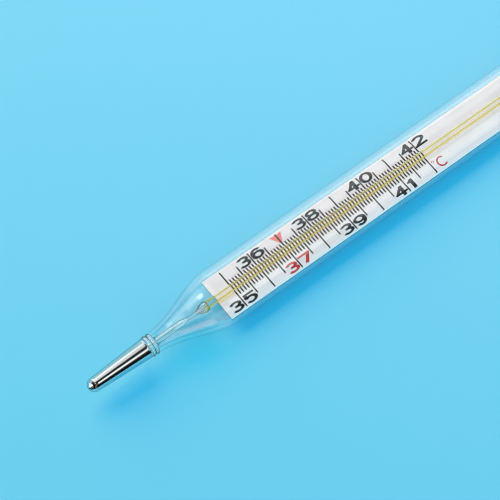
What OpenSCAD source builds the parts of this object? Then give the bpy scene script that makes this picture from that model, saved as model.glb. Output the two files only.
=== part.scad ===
// Enclosed-scale clinical thermometer, lying on its back with the bulb towards -X.
// All sizes are in millimetres. Places along the thermometer are measured from the tip of the bulb.

/* [Sheath] */
// Overall length, from the tip of the bulb to the closed top end
overall_l = 125; // [115:1:140]
// Width of the flat-oval sheath
sheath_w = 10.4; // [9.6:0.1:12]
// Thickness of the sheath, from the flat on its back to the crown of its front
sheath_t = 7; // [6.6:0.1:8]
// Radius of the rounded sides of the sheath
sheath_side_r = 3.1; // [2.6:0.1:3.2]
// Depth of the narrow flat along the back of the sheath
back_cut = 0.25; // [0.1:0.01:0.4]
// Glass wall of the sheath
sheath_wall = 0.7; // [0.5:0.05:0.9]
// Length of the rounded top end
dome_l = 4; // [3:0.1:6]
// Glass thickness at the closed top end
end_wall = 1; // [0.6:0.1:1.6]
// Length of the neck, from the weld to the full section
neck_l = 13.6; // [11:0.1:18]
// Outer diameter of the neck where it meets the weld
neck_d = 3.7; // [3.2:0.05:4.4]

/* [Bulb] */
// Length of the bulb, from its tip to the weld
bulb_l = 11.6; // [9:0.1:15]
// Diameter of the bulb at the weld
bulb_d = 3.55; // [3.1:0.05:4.2]
// Diameter of the rounded tip of the bulb
bulb_tip_d = 2.5; // [2:0.05:3]
// Glass wall of the bulb
bulb_wall = 0.16; // [0.1:0.01:0.4]
// Glass thickness at the tip of the bulb
bulb_tip_wall = 0.35; // [0.3:0.05:0.9]
// Length of the double glass bead that joins the bulb, the stem and the sheath
weld_l = 1.4; // [1:0.1:2.4]
// How far the bead stands out beyond the bulb and the neck
weld_proud = 0.06; // [0.02:0.01:0.2]

/* [Capillary] */
// Diameter of the capillary tube in front of the scale
capillary_d = 1.5; // [1.3:0.05:2]
// Diameter of the bore, which is wider here than the hair-fine bore of the real tube
bore_d = 0.44; // [0.42:0.01:0.5]
// Solid glass that seals the top of the bore
bore_seal = 2; // [1:0.1:4]
// Diameter of each yellow glass stripe in the capillary wall
stripe_d = 0.24; // [0.16:0.01:0.28]
// How far the capillary stands out below the lower end of the scale plate
capillary_lead = 2.4; // [1.5:0.1:4]
// Diameter of the thin stem between the weld and the constriction
stem_d = 0.95; // [0.8:0.01:1.2]
// Length of the pinched part of the constriction
pinch_l = 1.6; // [1:0.1:2.4]
// Outer diameter of the pinched part
pinch_d = 0.6; // [0.5:0.01:0.75]
// Bore of the pinched part, where the thread breaks when the bulb cools
pinch_bore_d = 0.16; // [0.1:0.01:0.2]
// Length of the cone that widens from the pinch to the knot, together with the shoulder of the knot
cone_l = 2; // [1.8:0.1:3]
// Diameter of the knot of glass where the cone meets the capillary
knot_d = 2; // [1.6:0.05:2.4]
// Length of the shoulder from the knot to the capillary
knot_l = 0.45; // [0.3:0.05:0.8]
// Length of the fine bore that runs on from the pinch into the cone
cone_seat = 0.3; // [0.2:0.05:0.4]

/* [Mercury] */
// Length of the moving top of the mercury column
meniscus_l = 1.3; // [1.1:0.05:1.4]

/* [Scale] */
// Thickness of the scale plate
plate_t = 0.35; // [0.2:0.01:0.5]
// How far the scale plate reaches into the neck
plate_inset = 1; // [0:0.1:1.4]
// Distance from the lower end of the plate to the lowest mark
scale_margin = 3.3; // [2:0.1:6]
// Length of the scale, from the lowest mark to the highest
scale_l = 40; // [35:0.5:50]
// Width of a printed line
line_w = 0.23; // [0.1:0.01:0.25]
// Length of a tenth-degree line
tenth_line_l = 3.1; // [2.4:0.1:4]
// How far the tenth-degree lines sit towards the even numbers
tenth_line_shift = 0.2; // [0:0.05:0.4]
// Length of a half-degree line
half_line_l = 5.7; // [4.4:0.05:6.4]
// Bare plate between the end of a degree line and the edge of the plate
line_margin = 0.35; // [0.2:0.05:0.8]
// Thickness of the print
print_t = 0.03; // [0.01:0.01:0.05]
// Width of the red arrowhead at the normal temperature
arrow_w = 2.3; // [1.6:0.05:2.8]
// Height of the red arrowhead
arrow_h = 1.7; // [1:0.05:2]
// Depth of the notch in the base of the arrowhead
arrow_notch = 0.1; // [0:0.05:0.4]
// Bare plate between the base of the arrowhead and the edge of the plate
arrow_margin = 0.5; // [0.3:0.05:0.8]

/* [Top plug] */
// Length of the plug that holds the upper ends of the plate and the capillary
plug_l = 5; // [4:0.1:8]
// How far the plate and the capillary go into the plug
plug_seat = 3; // [1:0.1:3.5]

/* [Clearances] */
// Gap between nested glass pieces
glass_gap = 0.02; // [0.01:0.01:0.05]
// Gap between the mercury and the glass round it
mercury_gap = 0.03; // [0.01:0.01:0.05]
// Gap between the capillary and the print under it
rest_gap = 0.02; // [0.01:0.01:0.05]
// Gap between the edges of the plate and the sheath
plate_gap = 0.1; // [0.05:0.01:0.3]
// Gap between the plug and what it holds or fills
plug_gap = 0.06; // [0.03:0.01:0.15]

/* [Hidden] */
$fn = 48;

// Temperatures, in degrees Celsius, of the two ends of the scale and of the red mark
scale_low = 35;
scale_high = 42;
fever_at = 37;
lines_per_degree = 10;

// Counts of points round the sheath, and of rings along its neck and its rounded end
ring_points = 36;
neck_rings = 14;
dome_rings = 7;
// The rounded end stops at this share of its full section, as a small flat
dome_stop = 0.12;

// Four-arc oval of the sheath: side arcs on the Y axis, front and back arcs on the Z axis
oval_half_t = (sheath_t + back_cut) / 2;
side_y = sheath_w / 2 - sheath_side_r;
rise = oval_half_t - sheath_side_r;
front_drop = (side_y * side_y - rise * rise) / (2 * rise);
front_r = front_drop + oval_half_t;
tangent_a = atan2(front_drop, side_y);
back_half_a = acos(1 - back_cut / front_r);
axis_z = oval_half_t - back_cut;

// Places along the thermometer
weld_end = bulb_l + weld_l;
neck_end = weld_end + neck_l;
plate_start = neck_end - plate_inset;
capillary_start = plate_start - capillary_lead;
cone_start = capillary_start - cone_l;
pinch_start = cone_start - pinch_l;
scale_start = plate_start + scale_margin;
dome_start = overall_l - dome_l;
plug_start = dome_start - plug_l;
plate_end = plug_start + plug_seat;
capillary_end = plate_end;

// Sizes that follow from the pieces they fit
weld_d = max(bulb_d, neck_d) + 2 * weld_proud;
bulb_nose_r = bulb_tip_d / 2;
cavity_nose_r = bulb_nose_r - bulb_wall;
thread_d = bore_d - 2 * mercury_gap;
stripe_y = (bore_d + capillary_d) / 4;
plate_front = -capillary_d / 2 - rest_gap - print_t;
plate_back = plate_front - plate_t;
inner_side_r = sheath_side_r - sheath_wall;
plate_half_w = side_y + sqrt(inner_side_r * inner_side_r - plate_back * plate_back) - plate_gap;
degree_line_l = 2 * (plate_half_w - line_margin);
line_count = (scale_high - scale_low) * lines_per_degree;
line_step = scale_l / line_count;
fever_place = scale_start + scale_l * (fever_at - scale_low) / (scale_high - scale_low);
arrow_base = plate_half_w - arrow_margin - arrow_notch;

// The mercury thread starts where the bore widens, and its moving top rests with its crown at the capillary
bore_start = cone_start + cone_seat;
thread_start = bore_start + mercury_gap;
meniscus_start = capillary_start - meniscus_l;

function smooth(s) = s * s * (3 - 2 * s);

// Point of the sheath's section whose outward normal has the angle a, drawn in by inset
function oval_point(a, inset) =
    let (folded = abs(a) > 90 ? 180 - abs(a) : abs(a))
    let (on_side = folded <= tangent_a)
    let (centre_y = on_side ? side_y * sign(cos(a)) : 0)
    let (centre_z = on_side ? 0 : -front_drop * sign(sin(a)))
    let (r = (on_side ? sheath_side_r : front_r) - inset)
    [centre_y + r * cos(a), centre_z + r * sin(a)];

function round_point(a, r) = [r * cos(a), r * sin(a)];

// Angles round the section, from one edge of the back flat to the other
function section_angles() =
    [for (i = [0 : ring_points]) -90 + back_half_a + (360 - 2 * back_half_a) * i / ring_points];

function wrapped(a) = a > 180 ? a - 360 : a;

// One ring of the sheath at the place t: round at blend 0, the full oval at blend 1
function ring(t, blend, size, inset) = [
    for (a = section_angles())
        let (p = (1 - blend) * round_point(a, neck_d / 2 - inset) + blend * oval_point(wrapped(a), inset))
        [t - overall_l / 2, size * p[0], axis_z + size * p[1]]
];

// Rings of a sheath surface from the weld to the rounded end, drawn in by inset
function sheath_rings(inset, end) =
    let (dome = end - dome_start)
    concat(
        [for (i = [0 : neck_rings]) ring(weld_end + neck_l * i / neck_rings, smooth(i / neck_rings), 1, inset)],
        [for (i = [0 : dome_rings])
            let (a = 90 * i / dome_rings)
            ring(dome_start + dome * sin(a), 1, max(dome_stop, cos(a)), inset)]
    );

// Lists the four-sided faces between neighbouring rings of n points, starting at the index first
function side_faces(first, rings, n, inward) = [
    for (i = [0 : rings - 2], j = [0 : n - 1])
        let (a = first + i * n + j)
        let (b = first + i * n + (j + 1) % n)
        inward ? [a, a + n, b + n, b] : [a, b, b + n, a + n]
];

// Sets a piece on the thermometer's axis at the place t, with its own Z axis along the thermometer
module on_axis(t) {
    translate([t - overall_l / 2, 0, axis_z]) rotate([0, 90, 0]) children();
}

// Sets a printed shape on the front of the plate at the place t, with X along the scale and Y across it
module on_plate(t) {
    translate([t - overall_l / 2, 0, axis_z + plate_front]) linear_extrude(print_t) children();
}

// A closed round rod with a hollow, both given by their diameters and the places of their ends
module tube(outer_d, inner_d, start, end) {
    on_axis(start) difference() {
        cylinder(d = outer_d, h = end - start);
        translate([0, 0, -glass_gap]) cylinder(d = inner_d, h = end - start + 2 * glass_gap);
    }
}

// Round-nosed cone of the bulb: nose_r at the place start, widening to end_r at the weld
module bulb_form(nose_r, end_r, start) {
    on_axis(start) {
        translate([0, 0, nose_r]) sphere(r = nose_r);
        translate([0, 0, nose_r]) cylinder(r1 = nose_r, r2 = end_r, h = bulb_l - start - nose_r);
    }
}

module glass_sheath() {
    outer = sheath_rings(0, overall_l);
    inner = sheath_rings(sheath_wall, overall_l - end_wall);
    n = len(outer[0]);
    rings = len(outer);
    inner_first = rings * n;
    points = [for (r = concat(outer, inner)) each r];
    mouth = [
        for (j = [0 : n - 1])
            let (k = (j + 1) % n)
            [j, k, inner_first + k, inner_first + j]
    ];
    outer_end = [for (j = [n - 1 : -1 : 0]) (rings - 1) * n + j];
    inner_end = [for (j = [0 : n - 1]) inner_first + (rings - 1) * n + j];
    color("lightcyan", 0.35) polyhedron(
        points,
        concat(
            side_faces(0, rings, n, true),
            side_faces(inner_first, rings, n, false),
            mouth,
            [outer_end],
            [inner_end]
        )
    );
}

module bulb_glass() {
    color("azure", 0.4) difference() {
        bulb_form(bulb_nose_r, bulb_d / 2, 0);
        bulb_form(cavity_nose_r, bulb_d / 2 - bulb_wall, bulb_tip_wall);
    }
}

module neck_weld() {
    bead_r = weld_l / 4;
    color("azure", 0.5) on_axis(bulb_l) rotate_extrude() difference() {
        union() {
            square([weld_d / 2 - bead_r, weld_l]);
            for (i = [0, 1]) translate([weld_d / 2 - bead_r, bead_r * (2 * i + 1)]) circle(r = bead_r);
        }
        square([stem_d / 2 + glass_gap, weld_l]);
    }
}

module bulb_mercury() {
    color("silver") {
        bulb_form(cavity_nose_r - mercury_gap, bulb_d / 2 - bulb_wall - mercury_gap, bulb_tip_wall + mercury_gap);
        on_axis(bulb_l - mercury_gap) cylinder(d = thread_d, h = pinch_start - bulb_l + mercury_gap);
    }
}

module bulb_stem() {
    color("azure", 0.5) tube(stem_d, bore_d, bulb_l, pinch_start);
}

module constriction() {
    color("azure", 0.5) on_axis(pinch_start) difference() {
        union() {
            cylinder(d = pinch_d, h = pinch_l);
            translate([0, 0, pinch_l]) cylinder(d1 = pinch_d, d2 = knot_d, h = cone_l - knot_l);
            translate([0, 0, pinch_l + cone_l - knot_l]) cylinder(d1 = knot_d, d2 = capillary_d, h = knot_l);
        }
        translate([0, 0, -glass_gap]) cylinder(d = pinch_bore_d, h = pinch_l + cone_seat + 2 * glass_gap);
        translate([0, 0, pinch_l + cone_seat]) cylinder(d = bore_d, h = cone_l);
    }
}

module capillary_tube() {
    length = capillary_end - capillary_start;
    color("ivory", 0.5) on_axis(capillary_start) difference() {
        cylinder(d = capillary_d, h = length);
        translate([0, 0, -glass_gap]) cylinder(d = bore_d, h = length - bore_seal + glass_gap);
        for (side = [-1, 1]) translate([0, side * stripe_y, -glass_gap])
            cylinder(d = stripe_d + 2 * glass_gap, h = length + 2 * glass_gap);
    }
}

module capillary_stripes() {
    color("goldenrod") on_axis(capillary_start)
        for (side = [-1, 1]) translate([0, side * stripe_y, 0])
            cylinder(d = stripe_d, h = capillary_end - capillary_start);
}

module mercury_thread() {
    color("silver") on_axis(thread_start) cylinder(d = thread_d, h = meniscus_start - mercury_gap - thread_start);
}

module mercury_meniscus() {
    color("gainsboro") on_axis(meniscus_start) {
        cylinder(d = thread_d, h = meniscus_l - thread_d / 2);
        translate([0, 0, meniscus_l - thread_d / 2]) sphere(d = thread_d);
    }
}

module scale_plate() {
    color("whitesmoke") translate([plate_start - overall_l / 2, -plate_half_w, axis_z + plate_back])
        cube([plate_end - plate_start, 2 * plate_half_w, plate_t]);
}

// Length and shift across the plate of the line with the number i, counted from the lowest mark
function line_form(i) =
    i % lines_per_degree == 0 ? [degree_line_l, 0] :
    i % (lines_per_degree / 2) == 0 ? [half_line_l, 0] : [tenth_line_l, tenth_line_shift];

module graduation_lines() {
    color("black") for (i = [0 : line_count])
        let (form = line_form(i))
        on_plate(scale_start + i * line_step) translate([0, form[1]]) square([line_w, form[0]], center = true);
}

module fever_mark() {
    inner_x = line_w / 2 + rest_gap;
    color("red") on_plate(fever_place)
        for (side = [0, 1]) mirror([side, 0]) polygon([
            [inner_x, arrow_base - arrow_h],
            [arrow_w / 2, arrow_base + arrow_notch],
            [inner_x, arrow_base]
        ]);
}

module top_plug() {
    gap = sheath_wall + plug_gap;
    outline = [for (a = section_angles()) oval_point(wrapped(a), gap)];
    color("white") difference() {
        translate([plug_start - overall_l / 2, 0, axis_z]) rotate([90, 0, 90]) linear_extrude(plug_l)
            polygon(outline);
        translate([plug_start - overall_l / 2 - plug_gap, -sheath_w / 2, axis_z + plate_back - plug_gap])
            cube([plug_seat + 2 * plug_gap, sheath_w, plate_t + 2 * plug_gap]);
        on_axis(plug_start - plug_gap) cylinder(d = capillary_d + 2 * plug_gap, h = plug_seat + 2 * plug_gap);
    }
}

glass_sheath();
bulb_glass();
neck_weld();
bulb_mercury();
bulb_stem();
constriction();
capillary_tube();
capillary_stripes();
mercury_thread();
mercury_meniscus();
scale_plate();
graduation_lines();
fever_mark();
top_plug();
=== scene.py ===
"""Dresses an enclosed-scale clinical thermometer and sets it in a small studio.

Pieces are modelled in millimetres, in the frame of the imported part, and brought to metres when they are
finished. The thermometer lies along X with its bulb towards -X and its scale facing +Z.
"""

import logging
import math
from collections.abc import Callable, Iterable
from dataclasses import dataclass
from enum import Enum
from functools import cache

import bmesh
import bpy
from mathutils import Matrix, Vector
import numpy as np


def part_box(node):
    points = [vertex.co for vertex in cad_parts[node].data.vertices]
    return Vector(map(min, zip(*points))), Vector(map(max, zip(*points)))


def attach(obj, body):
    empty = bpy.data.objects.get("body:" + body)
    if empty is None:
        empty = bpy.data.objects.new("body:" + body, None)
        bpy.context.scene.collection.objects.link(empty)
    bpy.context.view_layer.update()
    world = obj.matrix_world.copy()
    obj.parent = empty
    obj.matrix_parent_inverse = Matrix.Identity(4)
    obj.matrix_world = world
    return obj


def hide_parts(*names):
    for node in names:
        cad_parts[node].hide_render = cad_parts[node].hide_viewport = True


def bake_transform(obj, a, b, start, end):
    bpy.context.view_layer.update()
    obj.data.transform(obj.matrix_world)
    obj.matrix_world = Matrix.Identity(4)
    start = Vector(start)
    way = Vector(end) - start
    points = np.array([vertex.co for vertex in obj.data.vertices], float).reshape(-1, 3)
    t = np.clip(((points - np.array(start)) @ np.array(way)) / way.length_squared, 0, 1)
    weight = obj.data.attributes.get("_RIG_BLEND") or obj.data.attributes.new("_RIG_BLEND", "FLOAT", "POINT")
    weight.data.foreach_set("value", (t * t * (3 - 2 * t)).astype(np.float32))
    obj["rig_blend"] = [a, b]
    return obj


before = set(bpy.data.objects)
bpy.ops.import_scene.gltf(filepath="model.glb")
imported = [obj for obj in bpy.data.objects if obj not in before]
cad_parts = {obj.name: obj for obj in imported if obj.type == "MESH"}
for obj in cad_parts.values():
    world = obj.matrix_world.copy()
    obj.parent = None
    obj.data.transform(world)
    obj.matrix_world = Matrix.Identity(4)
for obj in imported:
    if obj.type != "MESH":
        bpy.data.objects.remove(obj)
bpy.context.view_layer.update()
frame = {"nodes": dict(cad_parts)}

logging.basicConfig(level=logging.INFO, format="%(name)s: %(message)s")
log = logging.getLogger("thermometer")

MM = 0.001
MERGE_DISTANCE = 0.0002
TURNING_STEPS = 96
FINE_TURNING_STEPS = 48
ROD_TURNING_STEPS = 32
SMOOTH_ANGLE = 40

# Share of light that glass mirrors seen square on, and the power by which that share grows at a glance.
FACING_GLOSS = 0.04
GLANCING_POWER = 5.0

# Values of a grain between which its colour runs from one tint to the other.
GRAIN_SPAN = (0.3, 0.7)
FULL_SPAN = (0.0, 1.0)

# A primitive circle lies flat, and is stood up square to the thermometer's axis by these turns.
ACROSS_AXIS = (math.pi / 2, 0, math.pi / 2)

Point = tuple[float, float]
Span = tuple[float, float]
Size = tuple[float, float, float]
Spot = tuple[float, float, float]
Colour = tuple[float, float, float]
Socket = bpy.types.NodeSocket
Inputs = dict[str | int, object]
Picker = Callable[[bpy.types.MeshPolygon], bool]


class Body(Enum):
    """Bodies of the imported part."""

    THERMOMETER = "thermometer"
    MERCURY_TOP = "mercury_top"


class Ink(Enum):
    """Inks of the printed scale, by the material slot that each one fills."""

    BLACK = "print_black"
    RED = "print_red"


def node_box(node: str) -> tuple[Vector, Vector]:
    """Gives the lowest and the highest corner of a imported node, in millimetres."""
    low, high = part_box(node)
    return low / MM, high / MM


def half_width(low: Vector, high: Vector) -> float:
    """Gives half the width of a box, which is the radius of a round piece."""
    return (high.y - low.y) / 2


@dataclass(frozen=True)
class Places:
    """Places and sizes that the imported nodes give, in millimetres."""

    axis_z: float
    tip: float
    weld_start: float
    weld_end: float
    stem_end: float
    capillary_start: float
    capillary_end: float
    crown_start: float
    top_end: float
    bulb_r: float
    pool_start: float
    pool_r: float
    weld_r: float
    stem_r: float
    capillary_r: float
    mercury_r: float
    stripe_y: float
    thread_start: float
    plate_low: Vector
    plate_high: Vector
    print_top: float
    first_line: float
    last_line: float

    @classmethod
    def read(cls) -> "Places":
        """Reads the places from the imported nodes.

        Returns:
            The places of this thermometer.
        """
        bulb, pool, weld, stem, rod, stripe, crown, thread, plate, lines, sheath = (
            node_box(node) for node in (
                "bulb_glass", "bulb_mercury", "neck_weld", "bulb_stem", "capillary_tube", "capillary_stripes",
                "mercury_meniscus", "mercury_thread", "scale_plate", "graduation_lines", "glass_sheath",
            )
        )
        stripe_height = stripe[1].z - stripe[0].z
        return cls(
            axis_z=(weld[0].z + weld[1].z) / 2,
            tip=bulb[0].x,
            weld_start=weld[0].x,
            weld_end=weld[1].x,
            stem_end=stem[1].x,
            capillary_start=rod[0].x,
            capillary_end=rod[1].x,
            crown_start=crown[0].x,
            top_end=sheath[1].x,
            bulb_r=half_width(*bulb),
            pool_start=pool[0].x,
            pool_r=half_width(*pool),
            weld_r=half_width(*weld),
            stem_r=half_width(*stem),
            capillary_r=half_width(*rod),
            mercury_r=half_width(*crown),
            stripe_y=half_width(*stripe) - stripe_height / 2,
            thread_start=thread[0].x,
            plate_low=plate[0],
            plate_high=plate[1],
            print_top=lines[1].z,
            first_line=lines[0].x,
            last_line=lines[1].x,
        )

    def radius_at(self, point: Vector) -> float:
        """Gives the distance of a point from the thermometer's axis."""
        return math.hypot(point.y, point.z - self.axis_z)


def smoothstep(s: float) -> float:
    """Gives the smooth step from 0 to 1."""
    return s * s * (3 - 2 * s)


def lerp(a: float, b: float, s: float) -> float:
    """Gives the value at the share s of the way from a to b."""
    return a + (b - a) * s


def shares(steps: int, first: int = 0) -> list[float]:
    """Lists the shares of even steps up to 1, starting at the step first."""
    return [i / steps for i in range(first, steps + 1)]


def arc(centre: Point, radii: Point, start: float, end: float, steps: int) -> list[Point]:
    """Lists points along an arc of an ellipse.

    Args:
        centre: Middle of the ellipse.
        radii: Half axes of the ellipse.
        start: First angle, in degrees.
        end: Last angle, in degrees.
        steps: Number of steps along the arc.

    Returns:
        Points from the first angle to the last.
    """
    points = []
    for s in shares(steps):
        a = math.radians(lerp(start, end, s))
        points.append((centre[0] + radii[0] * math.cos(a), centre[1] + radii[1] * math.sin(a)))
    return points


def start_clean() -> None:
    """Deselects everything before a new piece is modelled."""
    bpy.ops.object.select_all(action="DESELECT")


def pick(*pieces: bpy.types.Object) -> None:
    """Selects these pieces alone and makes the first one active.

    Args:
        pieces: Pieces to work on.
    """
    start_clean()
    for piece in pieces:
        piece.select_set(True)
    bpy.context.view_layer.objects.active = pieces[0]


def join(pieces: list[bpy.types.Object]) -> bpy.types.Object:
    """Joins pieces into the first of them.

    Args:
        pieces: Meshes to join.

    Returns:
        The joined piece.
    """
    pick(*pieces)
    bpy.ops.object.join()
    return bpy.context.object


def edit_mode() -> None:
    """Opens the active piece for modelling, with all of it selected."""
    bpy.ops.object.mode_set(mode="EDIT")
    bpy.ops.mesh.select_all(action="SELECT")


def close_seams() -> None:
    """Merges doubles, turns the faces outwards and leaves edit mode."""
    bpy.ops.mesh.select_all(action="SELECT")
    bpy.ops.mesh.remove_doubles(threshold=MERGE_DISTANCE)
    bpy.ops.mesh.normals_make_consistent(inside=False)
    bpy.ops.object.mode_set(mode="OBJECT")


def apply_modifier(piece: bpy.types.Object, kind: str, **settings: object) -> None:
    """Adds a modifier with its settings and applies it.

    Args:
        piece: Piece to change.
        kind: Type of the modifier.
        settings: Values of the modifier's properties.
    """
    bpy.context.view_layer.objects.active = piece
    modifier = piece.modifiers.new(kind.lower(), kind)
    for name, value in settings.items():
        setattr(modifier, name, value)
    bpy.ops.object.modifier_apply(modifier=modifier.name)


def cut(piece: bpy.types.Object, cutter: bpy.types.Object, **settings: object) -> None:
    """Cuts the shape of a cutter out of a piece and clears the cutter away.

    Args:
        piece: Piece to cut.
        cutter: Shape to take out of it.
        settings: Further values of the Boolean modifier.
    """
    apply_modifier(piece, "BOOLEAN", operation="DIFFERENCE", object=cutter, solver="EXACT", **settings)
    bpy.data.objects.remove(cutter)


def block(low: Vector, high: Vector) -> bpy.types.Object:
    """Adds a block to be shaped further.

    Args:
        low: Lowest corner, in millimetres.
        high: Highest corner.

    Returns:
        The block, selected alone.
    """
    start_clean()
    bpy.ops.mesh.primitive_cube_add(size=1, location=(low + high) / 2)
    piece = bpy.context.object
    piece.scale = high - low
    bpy.ops.object.transform_apply(location=True, scale=True)
    return piece


def settle(piece: bpy.types.Object, smooth_angle: float = SMOOTH_ANGLE) -> None:
    """Brings a finished piece to metres, with its place in its mesh, and shades it smooth.

    Args:
        piece: Piece modelled in millimetres.
        smooth_angle: Edges sharper than this stay crisp, in degrees.
    """
    pick(piece)
    piece.scale = (MM, MM, MM)
    piece.location = piece.location * MM
    bpy.ops.object.transform_apply(location=True, rotation=True, scale=True)
    bpy.ops.object.shade_smooth_by_angle(angle=math.radians(smooth_angle))
    log.info("%s: %d faces", piece.name, len(piece.data.polygons))


def carry(piece: bpy.types.Object, slot: str, *nodes: str, body: Body = Body.THERMOMETER) -> None:
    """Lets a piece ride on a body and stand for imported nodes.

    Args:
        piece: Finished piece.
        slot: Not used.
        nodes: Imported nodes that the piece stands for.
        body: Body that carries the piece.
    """
    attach(piece, body.value)
    if nodes:
        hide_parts(*nodes)


def turned(
    name: str, outline: Iterable[Point], axis_z: float, steps: int = TURNING_STEPS
) -> bpy.types.Object:
    """Turns an outline about the thermometer's axis.

    Args:
        name: Name of the piece.
        outline: Points as place along the axis and radius, in millimetres.
        axis_z: Height of the axis.
        steps: Number of steps round the axis.

    Returns:
        The turned piece, still in millimetres.
    """
    points = list(outline)
    start_clean()
    bpy.ops.mesh.primitive_plane_add(size=1)
    piece = bpy.context.object
    piece.name = name
    edit_mode()
    bpy.ops.mesh.merge(type="CENTER")
    place, radius = points[0]
    bpy.ops.transform.translate(value=(place, 0, axis_z + radius))
    for (place_a, radius_a), (place_b, radius_b) in zip(points, points[1:]):
        step = (place_b - place_a, 0, radius_b - radius_a)
        bpy.ops.mesh.extrude_vertices_move(TRANSFORM_OT_translate={"value": step})
    bpy.ops.mesh.select_all(action="SELECT")
    bpy.ops.mesh.spin(steps=steps, angle=math.tau, center=(0, 0, axis_z), axis=(1, 0, 0))
    close_seams()
    return piece


class Nodes:
    """Adds nodes to a node tree and links them."""

    def __init__(self, tree: bpy.types.NodeTree) -> None:
        """Starts from an empty tree."""
        self.tree = tree
        self.tree.nodes.clear()

    def node(self, kind: str, inputs: Inputs | None = None, **settings: object) -> bpy.types.Node:
        """Adds one node.

        Args:
            kind: Node type, without its prefix.
            inputs: Numbers, colours or sockets for the node's inputs, by name or index.
            settings: Values of the node's own properties.

        Returns:
            The new node.
        """
        node = self.tree.nodes.new("ShaderNode" + kind)
        for name, value in settings.items():
            setattr(node, name, value)
        for name, value in (inputs or {}).items():
            socket = node.inputs[name]
            if isinstance(value, bpy.types.NodeSocket):
                self.tree.links.new(value, socket)
            elif socket.type == "RGBA":
                socket.default_value = (*value, 1)
            else:
                socket.default_value = value
        return node

    def add(self, kind: str, inputs: Inputs | None = None, **settings: object) -> Socket:
        """Adds one node as the method above does, and gives its first output."""
        return self.node(kind, inputs, **settings).outputs[0]

    def math(self, operation: str, a: object, b: object = 0.0) -> Socket:
        """Adds a Math node and gives its result."""
        return self.add("Math", {0: a, 1: b}, operation=operation)

    def even(self, value: object, low: float, high: float) -> Socket:
        """Gives an even rise of a value from 0 at low to 1 at high."""
        return self.add("MapRange", {"Value": value, "From Min": low, "From Max": high})

    def step(self, value: object, low: float, high: float) -> Socket:
        """Gives a smooth step of a value from 0 at low to 1 at high."""
        inputs = {"Value": value, "From Min": low, "From Max": high}
        return self.add("MapRange", inputs, interpolation_type="SMOOTHSTEP")

    def fall(self, value: object, low: float, high: float) -> Socket:
        """Gives a smooth step of a value from 1 at low to 0 at high."""
        return self.math("SUBTRACT", 1.0, self.step(value, low, high))

    def band(self, value: object, rise: Span, fall: Span) -> Socket:
        """Gives a soft band of a value, which is 1 between its rise and its fall."""
        return self.math("SUBTRACT", self.step(value, *rise), self.step(value, *fall))

    def place(self) -> list[Socket]:
        """Gives X, Y and Z on the piece's object coordinates."""
        return list(self.node("SeparateXYZ", {0: self.node("TexCoord").outputs["Object"]}).outputs)

    def ramp(self, value: object, stops: Iterable[tuple[float, Colour]]) -> Socket:
        """Gives the colour at a value between the stops of a ramp.

        Args:
            value: Socket with the place on the ramp.
            stops: Places from 0 to 1 with their colours, the lowest and another one first.

        Returns:
            Colour socket.
        """
        node = self.node("ValToRGB", {"Fac": value})
        elements = node.color_ramp.elements
        for i, (place, colour) in enumerate(stops):
            element = elements[i] if i < 2 else elements.new(place)
            element.position = place
            element.color = (*colour, 1)
        return node.outputs["Color"]

    def fade(self, value: object, first: Colour, second: Colour, span: Span = GRAIN_SPAN) -> Socket:
        """Gives a colour that runs from the first to the second over a span of a value."""
        return self.ramp(value, zip(span, (first, second)))

    def grain(self, size: Size, detail: float = 3.0) -> Socket:
        """Gives noise on object coordinates.

        Args:
            size: Size of a grain along X, Y and Z, in millimetres.
            detail: Octaves of finer noise.

        Returns:
            Value socket from 0 to 1.
        """
        # Cuts the plate to size, rounds its edges and paints its steep sides with shade.
        place = self.node("TexCoord").outputs["Object"]
        mapped = self.add("Mapping", {"Vector": place, "Scale": tuple(1 / (MM * s) for s in size)})
        return self.node("TexNoise", {"Vector": mapped, "Scale": 1.0, "Detail": detail}).outputs["Fac"]

    def bump(self, height: Socket, depth: float, strength: float = 1.0) -> Socket:
        """Gives normals that a height of this depth, in millimetres, tilts."""
        return self.add("Bump", {"Strength": strength, "Distance": depth * MM, "Height": height})

    def tinted(self, share: object, colour: object, tint: object) -> Socket:
        """Multiplies a colour by a share of a tint."""
        return self.add("MixRGB", {"Fac": share, "Color1": colour, "Color2": tint}, blend_type="MULTIPLY")

    def mix(self, share: object, first: Socket, second: Socket) -> Socket:
        """Mixes two shaders, with this share of the second."""
        return self.add("MixShader", {0: share, 1: first, 2: second})

    def clear(self, tint: object = (1.0, 1.0, 1.0)) -> Socket:
        """Gives a shader that lets light straight through, tinted."""
        return self.add("BsdfTransparent", {"Color": tint})

    def soft_light(self) -> Socket:
        """Gives 1 on rays that gather soft light."""
        return self.node("LightPath").outputs["Is Diffuse Ray"]

    def unseen(self) -> Socket:
        """Gives 1 on rays that cast shadow or gather soft light, and 0 on rays that look."""
        return self.math("MAXIMUM", self.node("LightPath").outputs["Is Shadow Ray"], self.soft_light())


class Finish:
    """Finish of a surface, made into one node material however many pieces it dresses."""

    name: str

    def surface(self, nodes: Nodes) -> Socket:
        """Builds the shader of the finish, in each kind of finish in its own way."""
        raise NotImplementedError

    @cache
    def material(self) -> bpy.types.Material:
        """Builds the material, once.

        Returns:
            Node material of the finish.
        """
        material = bpy.data.materials.new(self.name)
        material.use_nodes = True
        nodes = Nodes(material.node_tree)
        nodes.node("OutputMaterial", {"Surface": self.surface(nodes)})
        return material


def dress(
    piece: bpy.types.Object, finish: Finish, second: Finish | None = None, picked: Picker | None = None
) -> None:
    """Gives a piece its finish in place of any it has, and some of its faces a second one.

    Args:
        piece: Piece to dress.
        finish: Finish of the piece.
        second: Finish for a second material slot.
        picked: Says of a face whether it takes the second finish.
    """
    piece.data.materials.clear()
    piece.data.materials.append(finish.material())
    if second:
        piece.data.materials.append(second.material())
    if picked:
        for face in piece.data.polygons:
            if picked(face):
                face.material_index = 1


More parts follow.
